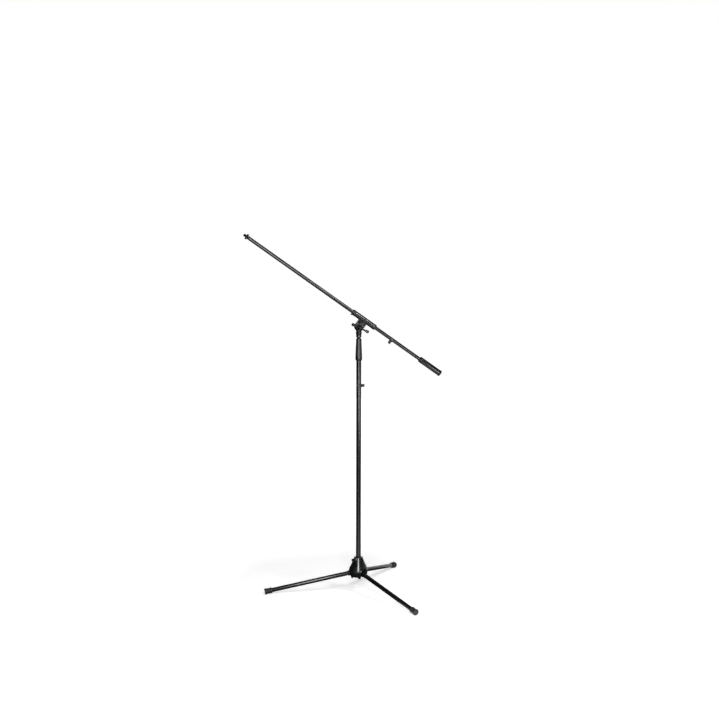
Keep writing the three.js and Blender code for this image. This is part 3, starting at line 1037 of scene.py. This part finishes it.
@dataclass
class Mast:
    """Outer tube, lock plate, clutch and the lowered inner tube. Heights are above the floor."""

    frame: Frame
    radius: float = MAST_RADIUS
    bore: float = 7.4
    bottom: float = 63.6
    top: float = 842.0
    inner_radius: float = 6.4
    inner_bore: float = 5.2
    inner_ends: tuple[float, float] = (84.0, 905.0)
    thread_radius: float = 4.7
    shoulder: float = 907.5
    stud_top: float = 920.5

    def build(self) -> Iterable[bpy.types.Object]:
        """Build the mast's pieces from the floor up."""
        outer_tube = ring(self.radius, self.bore, self.bottom, self.top, steps=80)
        inner_tube = ring(self.inner_radius, self.inner_bore, *self.inner_ends)
        yield finished("mast_tube", outer_tube, self.frame, TUBE_COAT)
        yield finished("lock_plate", self.lock_plate(), self.frame, BLACK_STEEL)
        yield finished("lock_plate_screw", self.plate_screw(), self.frame, ZINC_PLATE)
        yield dressed("mast_foot_plug", NYLON)
        yield dressed("clutch_ferrule", BLACK_STEEL)
        yield dressed("clutch_collet", NATURAL_ACETAL)
        yield finished("clutch_grip", self.grip(), self.frame, NYLON)
        yield finished("inner_tube", inner_tube, self.frame, TUBE_COAT)
        yield dressed("inner_tube_glide", NATURAL_ACETAL)
        yield finished("mast_top_stud", self.top_stud(), self.frame, BLACK_STEEL)

    def lock_plate(self) -> Solid:
        """Pressed disc that bears on the leg knuckles, with a stiffening bead."""
        top = self.bottom - 0.3
        return turned(rounded([(2.6, top - 3), (9, top - 3), (10, top - 2.4), (20.6, top - 2.4),
                               (21.6, top - 3), (23.5, top - 3), (23.5, top), (2.6, top)], 0.5), 72)

    def plate_screw(self) -> Solid:
        """Pan-head screw with a cross recess, seen from below."""
        seat = self.bottom - 3.6
        head = turned([(0, seat - 3.5), (2.4, seat - 3.4), (4.2, seat - 2.6), (5, seat - 1.4), (5, seat),
                       (2.3, seat), (2.3, 72), (0, 72)], 48)
        recess = [block((-2.7, -0.45, seat - 5), (2.7, 0.45, seat - 1.6)),
                  block((-0.45, -2.7, seat - 5), (0.45, 2.7, seat - 1.6))]
        return cut(head, Cut.AWAY, *recess)

    def grip(self) -> Solid:
        """Tapered twist grip of the clutch, with shallow flutes."""
        outside = smooth_curve([(11.0, 829.2), (11.75, 833), (11.9, 837), (11.75, 845), (11.2, 858),
                                (10.5, 876), (9.7, 893), (9.35, 900.5)], 5)
        inside = [(7.0, 904), (7.0, 897), (8.3, 896), (8.3, 869), (8.9, 869), (8.9, 848.5), (10.3, 848.5),
                  (10.3, 829.2), (9.0, 829.2), (9.0, 827)]
        profile = rounded([(10.0, 827), *outside, (8.9, 903.2), (8.5, 904), *inside], 0.35)
        return fluted(turned(profile, 120), 12, 0.4, 833, 897, 9)

    def top_stud(self) -> Solid:
        """Shouldered stud in the inner tube's end, threaded for the swivel."""
        low, high = self.shoulder, self.stud_top
        spigot = self.inner_bore - 0.3
        end = self.inner_ends[1]
        root = self.thread_radius - THREAD_DEPTH
        outer = self.inner_radius
        core = turned(rounded([(0, end - 20), (spigot, end - 20), (spigot, end + 0.3), (outer, end + 0.3),
                               (outer, low), (root, low), (root, high), (0, high)], 0.3), 48)
        return joined(core, thread(self.thread_radius, THREAD_DEPTH, low + 0.3, high - 0.4, THREAD_PITCH))


# ------------------------------------------------------------------ cable clips


@dataclass
class CableClip:
    """Snap-on clip: an open ring round a tube, with a hook for the cable beside it, towards X."""

    node: str
    frame: Frame
    place: Matrix
    tube_radius: float
    wall: float = 2.2
    half: float = 5.0
    hook_radius: float = 3.8
    hook_wall: float = 1.4
    mouth: float = 2.6
    wrap: float = 134.0

    def build(self) -> Iterable[bpy.types.Object]:
        """Build the clip as one moulding."""
        inner = self.tube_radius + 0.12
        outer = self.tube_radius + 0.3 + self.wall
        hook_at = outer + self.hook_radius
        hook_outer = self.hook_radius + self.hook_wall
        snap = softened(arc_band(inner, outer, self.half, -self.wrap, self.wrap, 56), 0.4)
        mouth = math.degrees(math.asin(self.mouth / self.hook_radius))
        hook = softened(arc_band(self.hook_radius, hook_outer, self.half, -90 + mouth, 270 - mouth, 48), 0.4)
        lips = [self.lip(outer, side) for side in (-1, 1)]
        bridge = softened(block((outer - 0.9, -1.6, -self.half), (outer + 0.9, 2.4, self.half)), 0.35)
        moulding = joined(snap, shifted(hook, hook_at), bridge, *lips)
        yield finished(self.node, placed(moulding, self.place), self.frame, CLIP_NYLON)

    def lip(self, outer: float, side: int) -> Solid:
        """Rounded bead on one end of the snap ring."""
        middle = outer - self.wall / 2
        angle = math.radians(self.wrap) * side
        bead = rod(self.wall / 2 + 0.25, -self.half, self.half, 0.35, 24)
        return shifted(bead, middle * math.cos(angle), middle * math.sin(angle))


# ------------------------------------------------------------------ swivel and T-bar


@dataclass
class Swivel:
    """Fork-shaped swivel on top of the mast, with its friction discs and pivot nut."""

    frame: Frame
    low: float = -35.2
    floor: float = -17.0
    ear_radius: float = 15.2
    ear_outer: float = 14.5
    ear_inner: float = 7.6
    bolt: float = 4.0
    stud: float = 5.0
    stud_top: float = -22.2

    def build(self) -> Iterable[bpy.types.Object]:
        """Build the socket and the pieces on its pivot."""
        yield finished("swivel_socket", self.socket(), self.frame, CASTING)
        for name in ("friction_disc_front", "friction_disc_rear"):
            yield dressed(name, ZINC_PLATE)
        yield finished("pivot_nut", self.nut(), self.frame, ZINC_PLATE)

    def socket(self) -> Solid:
        """The casting: a turned socket that flares into two ears."""
        barrel = turned([(0, self.low), (8.6, self.low), (9.1, self.low + 0.6), (9.4, self.low + 1.6),
                         (9.4, self.low + 4.4), (9.0, self.low + 5.2), (9.1, self.low + 7),
                         (10.0, self.low + 13),
                         (10.9, self.floor), (11.2, self.floor + 2), (0, self.floor + 2)], 96)
        flare = turned([(0, -24), (10.0, -24), (10.9, -17), (12.6, -12), (16, -6), (19.5, 0), (21.4, 8),
                        (21.4, 17), (0, 17)], 96)
        outline = [(-self.ear_radius, -23), (self.ear_radius, -23), *arc((0, 0), self.ear_radius, 0, 180, 32)]
        ears = cut(plate(outline, 2 * self.ear_outer), Cut.COMMON, flare)
        fork_gap = block((-30, -self.ear_inner, self.floor), (30, self.ear_inner, 30))
        bolt_hole = placed(rod(self.bolt + 0.3, -30, 30, 0.1), ALONG_MINUS_Y)
        stud_hole = rod(self.stud, -50, self.stud_top, 0.1)
        seat = placed(rod(9.2, self.ear_outer - 0.7, 30, 0.1, 64), ALONG_MINUS_Y)
        back_seat = placed(rod(8.6, -30, -self.ear_outer + 0.7, 0.1, 64), ALONG_MINUS_Y)
        solid = cut(barrel, Cut.JOIN, ears)
        return cast(cut(solid, Cut.AWAY, fork_gap, bolt_hole, stud_hole, seat, back_seat), 0.5, 4)

    def nut(self) -> Solid:
        """Hexagon nut behind the rear ear."""
        hexagon = plate(arc((0, 0), 7.0, 0, 300, 5), 5.5)
        nut = cut(softened(hexagon, 0.5), Cut.AWAY, placed(rod(4.2, -10, 10, 0.1), ALONG_MINUS_Y))
        return shifted(nut, y=self.ear_outer + 0.3 + 2.75)


@dataclass
class TBar:
    """The swivel's clamping screw: a threaded shank, a waisted stem and a cross rod with two end knobs."""

    frame: Frame
    slope: float = 26.7
    seat: float = 14.8
    plane: float = 31.5
    reach: float = 27.5
    rod_radius: float = 3.0
    ball: float = 5.6

    def build(self) -> Iterable[bpy.types.Object]:
        """Build the stem, the cross rod and its two knobs."""
        lean = rotation(self.slope, "Y")
        across = (lean, Matrix.Translation((0, -self.plane, 0)), ALONG_X)
        yield finished("t_bar_screw", placed(self.stem(), lean, ALONG_MINUS_Y), self.frame, BLACK_STEEL)
        bar = turned(rounded([(0, -self.reach), (2.4, -self.reach), (self.rod_radius, -18),
                              (self.rod_radius, 18), (2.4, self.reach), (0, self.reach)], 0.8), 48)
        yield finished("t_bar_rod", placed(bar, *across), self.frame, BLACK_STEEL)
        for name, turn in (("t_bar_end_right", 0), ("t_bar_end_left", 180)):
            knob = placed(self.knob(), lean, Matrix.Translation((0, -self.plane, 0)), rotation(turn), ALONG_X)
            yield finished(name, knob, self.frame, KNOB_NYLON)

    def stem(self) -> Solid:
        """Shank through the pivot, flange and waisted stem with a domed head."""
        seat, plane = self.seat, self.plane
        outline = smooth_curve([(6.2, seat + 4.6), (5.3, seat + 8), (5.2, seat + 11), (5.7, plane - 1.5),
                                (5.6, plane + 2), (4.6, plane + 4.4), (2.4, plane + 5.6)], 5)
        profile = [(0, -21.5), (3.4, -21.5), (3.4, seat - 8), (4, seat - 7), (4, seat), (7.9, seat),
                   (8, seat + 0.6), (7.8, seat + 2), *outline, (0, plane + 5.8)]
        return joined(turned(rounded(profile, 0.4), 64), thread(4.0, 0.55, -21.2, 6, 1.25))

    def knob(self) -> Solid:
        """Drop-shaped end knob, thick at its outer end."""
        reach, ball = self.reach, self.ball
        outline = smooth_curve([(3.3, reach - 9.5), (3.7, reach - 7.5), (4.8, reach - 3.5),
                                (ball, reach + 0.4),
                                (ball - 0.6, reach + 3.4), (ball - 2.6, reach + 5.2), (1.2, reach + 5.6)], 6)
        return turned([(0, reach - 9.9), (2.8, reach - 9.9), *outline, (0, reach + 5.62)], 56)


# ------------------------------------------------------------------ boom clamp and boom


@dataclass
class BoomClamp:
    """The sleeve that holds the boom, on a tongue that tilts in the swivel. X is along the boom."""

    frame: Frame
    offset: float = BOOM_OFFSET
    outer: float = 10.0
    inner: float = 7.7
    half: float = 45.0
    flange: float = 3.8
    tongue_half: float = 6.0
    tongue_width: float = 16.0
    tongue_round: float = 13.2
    bolt: float = 4.3
    parting: float = 0.15

    def build(self) -> Iterable[bpy.types.Object]:
        """Build the two shells, the end bushes and the plunger."""
        yield finished("boom_clamp_body", self.body(), self.frame, CLAMP_SHELL)
        yield finished("boom_clamp_cover", self.cover(), self.frame, CLAMP_SHELL)
        rear = placed(self.bush(), ALONG_X)
        front = joined(placed(self.bush(), ALONG_X), self.lobe())
        for name, bush, turn in (("clamp_bush_rear", rear, 0), ("clamp_bush_front", front, 180)):
            yield finished(name, placed(bush, lifted(self.offset), rotation(turn)), self.frame, NYLON)
        yield dressed("clamp_plunger", ZINC_PLATE)

    def sleeve(self) -> Solid:
        """The whole sleeve before it is parted, with a bead round each end."""
        end, outer = self.half, self.outer
        profile = [(0, -end), (outer - 0.8, -end), (outer, -end + 1), (outer, -end + 4),
                   (outer - 0.4, -end + 5.5),
                   (outer - 0.4, end - 5.5), (outer, end - 4), (outer, end - 1), (outer - 0.8, end), (0, end)]
        return placed(turned(profile, 96), lifted(self.offset), ALONG_X)

    def bore(self) -> Solid:
        """The boom's way through the sleeve."""
        return placed(rod(self.inner, -60, 60, 0.1, 64), lifted(self.offset), ALONG_X)

    def body(self) -> Solid:
        """Lower shell and tongue, cast in one."""
        width, turn = self.tongue_width, self.tongue_round
        outline = [(-width - 1.5, self.offset - 7), (-width, self.offset - 10), (-width, 8),
                   *arc((0, 0), turn, 180, 360, 28), (width, 8), (width, self.offset - 10),
                   (width + 1.5, self.offset - 7)]
        solid = cut(self.sleeve(), Cut.JOIN, plate(outline, 2 * self.tongue_half))
        above = block((-60, -20, self.offset - self.parting), (60, 20, self.offset + 20))
        bolt_hole = placed(rod(self.bolt, -30, 30, 0.1), ALONG_MINUS_Y)
        plunger_hole = rod(3.3, 0, self.offset, 0.1)
        return cast(cut(solid, Cut.AWAY, self.bore(), above, bolt_hole, plunger_hole), 0.6, 3)

    def cover(self) -> Solid:
        """Upper shell, parted from the lower one by a fine line."""
        below = block((-60, -20, self.offset - 20), (60, 20, self.offset + self.parting))
        return cast(cut(self.sleeve(), Cut.AWAY, self.bore(), below), 0.55, 3)

    def bush(self) -> Solid:
        """Flanged guide bush in one end of the sleeve."""
        start, end = self.half + 0.3, self.half + 0.3 + self.flange
        return turned(rounded([(6.35, 25), (self.inner - 0.3, 25), (self.inner - 0.3, start), (9.7, start),
                               (9.6, end - 1.2), (8.6, end), (6.35, end)], 0.6), 72)

    def lobe(self) -> Solid:
        """Thumb lobe under the front bush's flange."""
        start, end = self.half + 0.4, self.half + 0.3 + self.flange
        return softened(block((start, -4.5, -12.6), (end, 4.5, -7.8)), 1.3)


@dataclass
class Boom:
    """One-piece boom with its threaded tip, lock ring and counterweight. X is along the boom."""

    frame: Frame
    offset: float = BOOM_OFFSET
    radius: float = BOOM_RADIUS
    bore: float = 5.05
    tip: float = -507.0
    front: float = -487.0
    rear: float = 328.0
    collar: float = -490.0
    tip_plug: float = -465.0
    cap_plug: float = 300.0
    thread_radius: float = 4.7
    ring_ends: tuple[float, float] = (-497.5, -491.5)
    ring_radius: float = 10.0
    weight: tuple[float, float] = (10.2, 242.0)
    cap_radius: float = 11.0
    end: float = 333.0

    def build(self) -> Iterable[bpy.types.Object]:
        """Build the boom from its tip to the counterweight."""
        pieces: list[tuple[str, Solid, Finish]] = [
            ("boom_tube", ring(self.radius, self.bore, self.front, self.rear, 0.25, 72), TUBE_COAT),
            ("boom_tip_stud", self.tip_stud(), BLACK_STEEL),
            ("tip_lock_ring", self.lock_ring(), BLACK_STEEL),
            ("counterweight", self.counterweight(), WEIGHT_COAT),
            ("counterweight_cap", self.weight_cap(), RUBBER),
        ]
        for node, solid, finish in pieces:
            yield finished(node, placed(solid, lifted(self.offset), ALONG_X), self.frame, finish)

    def tip_stud(self) -> Solid:
        """Plug in the tube's end with a shoulder and a 3/8 inch thread of sixteen turns to the inch."""
        root = self.thread_radius - THREAD_DEPTH
        plug, tip, collar, seat, end = self.bore - 0.3, self.tip, self.collar, self.front - 0.3, self.tip_plug
        core = turned(rounded([(0, tip), (root - 0.7, tip), (root, tip + 0.9), (root, collar),
                               (self.radius, collar), (self.radius, seat), (plug, seat), (plug, end),
                               (0, end)], 0.3), 56)
        return joined(core, thread(self.thread_radius, THREAD_DEPTH, tip + 0.5, collar - 0.2, THREAD_PITCH))

    def lock_ring(self) -> Solid:
        """Knurled ring nut that locks a microphone clip on the thread."""
        low, high = self.ring_ends
        radius = self.ring_radius
        profile = rounded([(5.0, low), (radius - 0.9, low), (radius, low + 0.8), (radius, high - 0.8),
                           (radius - 0.9, high), (5.0, high)], 0.25)
        return fluted(turned(profile, 180), 36, 0.45, low + 0.5, high - 0.5, 0.4)

    def counterweight(self) -> Solid:
        """Steel sleeve with chamfered ends and a shallow groove near the front."""
        radius, low = self.weight
        high, bore = self.rear, self.radius + 0.15
        return turned(rounded([(bore, low), (radius - 1.2, low), (radius, low + 1.2), (radius, low + 5),
                               (radius - 0.4, low + 5.4), (radius - 0.4, low + 6.2), (radius, low + 6.6),
                               (radius, high - 0.8), (radius - 0.8, high), (bore, high)], 0.4), 80)

    def weight_cap(self) -> Solid:
        """Rubber end cap, plugged into the boom tube."""
        plug, cap, seat, end = self.bore - 0.3, self.cap_radius, self.rear + 0.3, self.end
        inside = self.cap_plug
        return turned(rounded([(0, inside), (plug, inside), (plug, seat), (cap - 0.4, seat),
                               (cap, seat + 0.6),
                               (cap, end - 1.9), (cap - 0.9, end - 0.6), (cap - 2.6, end),
                               (0, end)], 0.5), 72)


# ------------------------------------------------------------------ studio


@dataclass
class Studio:
    """Camera, paper floor and soft lights. Lengths are in metres and angles in degrees."""

    image_width: float = 719.0
    focal_pixels: float = 1456.4
    eye: Vector = field(default_factory=lambda: Vector((0.043, -5.0, 1.5494)))
    pitch: float = 8.212
    pan: float = 0.11
    roll: float = 0.114
    dimness: float = 0.015

    def camera(self) -> None:
        """Set the camera at eye height, looking slightly down at the stand."""
        data = bpy.data.cameras.new("studio_camera")
        data.sensor_width = 36
        data.lens = data.sensor_width * self.focal_pixels / self.image_width
        made = bpy.data.objects.new("studio_camera", data)
        turn = rotation(-self.pan) @ rotation(90 - self.pitch, "X")
        made.matrix_world = Matrix.Translation(self.eye) @ turn @ rotation(self.roll)
        bpy.context.scene.collection.objects.link(made)
        bpy.context.scene.camera = made

    def floor(self) -> None:
        """Lay a wide sheet of white paper."""
        bm = bmesh.new()
        bmesh.ops.create_grid(bm, x_segments=2, y_segments=2, size=30)
        mesh = bpy.data.meshes.new("paper_floor")
        bm.to_mesh(mesh)
        bm.free()
        mesh.materials.append(PAPER.material())
        made = bpy.data.objects.new("paper_floor", mesh)
        bpy.context.scene.collection.objects.link(made)

    def soft_box(
        self,
        name: str,
        place: tuple[float, ...],
        aim: tuple[float, ...],
        size: tuple[float, float],
        brightness: float,
    ) -> None:
        """Hang one rectangular soft light.

        Args:
            name: The light's name.
            place: Where it hangs.
            aim: The point that it faces.
            size: Its width and height.
            brightness: Radiance of its face, where one looks white.
        """
        data = bpy.data.lights.new(name, "AREA")
        data.shape = "RECTANGLE"
        data.size, data.size_y = size
        data.energy = math.pi * size[0] * size[1] * brightness
        made = bpy.data.objects.new(name, data)
        made.location = place
        made.rotation_euler = (Vector(aim) - Vector(place)).to_track_quat("-Z", "Y").to_euler()
        made.visible_camera = False
        bpy.context.scene.collection.objects.link(made)

    def surroundings(self) -> None:
        """Dim the studio round the lights, behind a backdrop that looks white."""
        world = bpy.data.worlds.new("studio")
        world.use_nodes = True
        background = world.node_tree.nodes["Background"]
        background.inputs["Color"].default_value = colour("#ffffff")
        seen = add_node(world, "LightPath").outputs["Is Camera Ray"]
        span = {"To Min": self.dimness, "To Max": 1.0}
        strength = add_node(world, "MapRange", span, Value=seen).outputs["Result"]
        world.node_tree.links.new(strength, background.inputs["Strength"])
        bpy.context.scene.world = world
        bpy.context.scene.view_settings.view_transform = "Standard"

    def build(self) -> None:
        """Set up everything round the object."""
        self.camera()
        self.floor()
        self.surroundings()
        self.soft_box("key_box", (0.05, -2.6, 1.4), (0.0, 0, 0.6), (0.7, 2.2), 15.0)
        self.soft_box("front_card", (0.15, -1.6, 0.001), (0.15, -1.6, 1), (0.6, 2.8), 1.3)
        self.soft_box("low_box", (1.6, -2.3, 0.45), (0.1, 0, 0.7), (0.6, 0.6), 16.0)
        self.soft_box("side_box", (1.6, -1.5, 2.3), (-0.03, 0, 1.03), (0.6, 0.4), 36.0)
        self.soft_box("backdrop", (1.6, 3.2, 0.9), (0.05, 0, 0.6), (4.0, 1.8), 0.9)
        self.soft_box("rear_card", (0.35, 0.75, 0.001), (0.35, 0.75, 1), (0.9, 1.0), 0.6)


# ------------------------------------------------------------------ main


def clips() -> list[CableClip]:
    """The cable clip on the mast and the one on the boom."""
    mast_clip = (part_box("mast_cable_clip")[0].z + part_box("mast_cable_clip")[1].z) / 2 / MM
    on_boom = Matrix.Translation((120, 0, BOOM_OFFSET)) @ ALONG_X
    return [
        CableClip("mast_cable_clip", mast_frame(), lifted(mast_clip), MAST_RADIUS),
        CableClip("boom_cable_clip", boom_frame(), on_boom, BOOM_RADIUS),
    ]


def main() -> None:
    """Build the studio and every sub-assembly, and log each piece."""
    logging.basicConfig(level=logging.INFO, format="%(name)s: %(message)s")
    Studio().build()
    assemblies = [
        BaseCasting(mast_frame()),
        *(Leg(side) for side in Side),
        Mast(mast_frame()),
        *clips(),
        Swivel(head_frame()),
        TBar(head_frame()),
        BoomClamp(boom_frame()),
        Boom(boom_frame()),
    ]
    for assembly in assemblies:
        for piece in assembly.build():
            LOG.info("%s: %s, %d faces", type(assembly).__name__, piece.name, len(piece.data.polygons))


if __name__ == "__main__":
    main()
